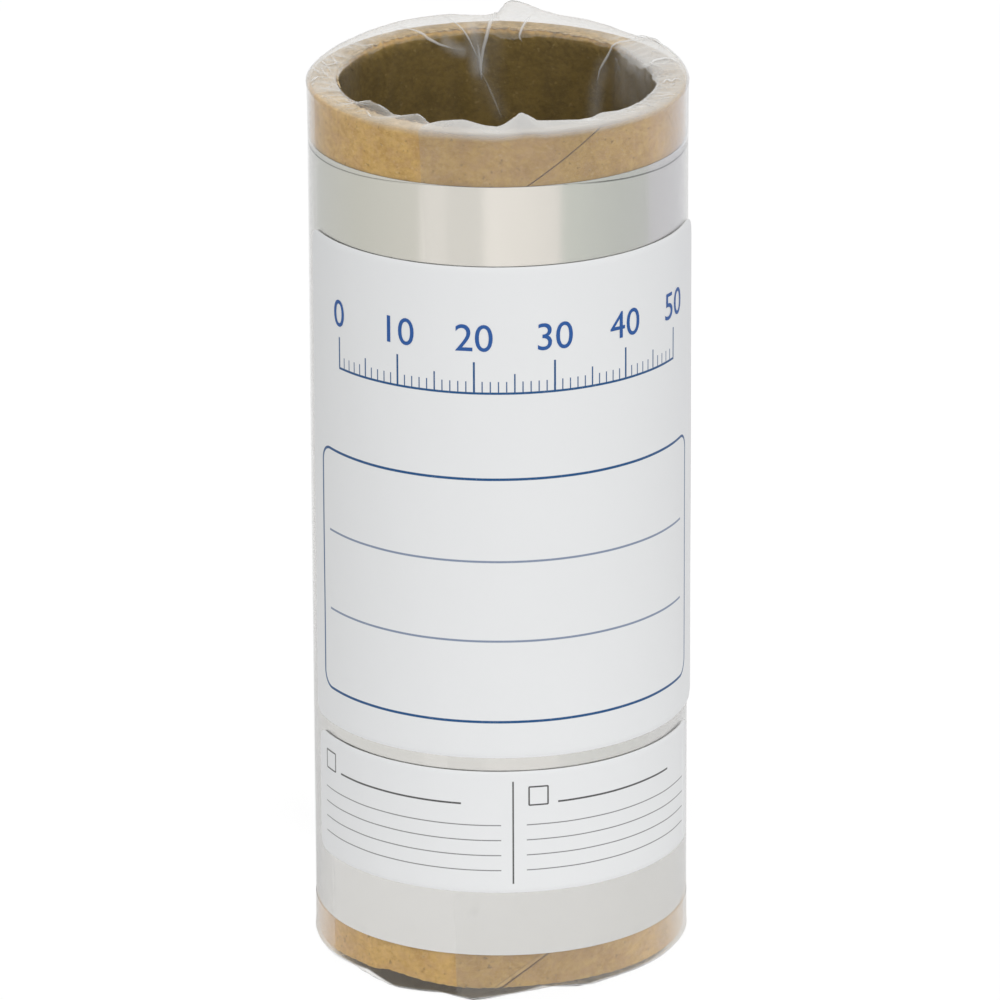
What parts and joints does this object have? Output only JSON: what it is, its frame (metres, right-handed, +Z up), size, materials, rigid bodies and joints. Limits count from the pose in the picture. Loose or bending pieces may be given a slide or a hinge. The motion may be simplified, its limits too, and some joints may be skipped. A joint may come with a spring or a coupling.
{
  "type": "roll of shim stock",
  "caption": "Thin metal shim foil wound on a spiral paper tube, wrapped in clear film that is tucked into the bore at each end, with printed paper labels; it stands on its end.",
  "frame": {"origin": "centre of the roll on the level floor, at the crests of the crushed film that it stands on", "axes": "+Z up along the roll's axis, -Y towards the middle of the labelled front, +X to the right of someone who reads the labels"},
  "size_m": [0.0476, 0.0473, 0.1165],
  "materials": {
    "kraft": "raw brown kraft board with a slight fibre grain",
    "foil": "bright rolled stainless foil",
    "film": "thin clear wrapping film, glossy, cloudy at its folds",
    "label_paper": "smooth white label paper with blue printed lines"
  },
  "bodies": {
    "root": {"paper_tube": "kraft", "foil_coil": "foil", "clear_film": "film", "main_label": "label_paper", "lower_label": "label_paper"}
  },
  "joints": []
}
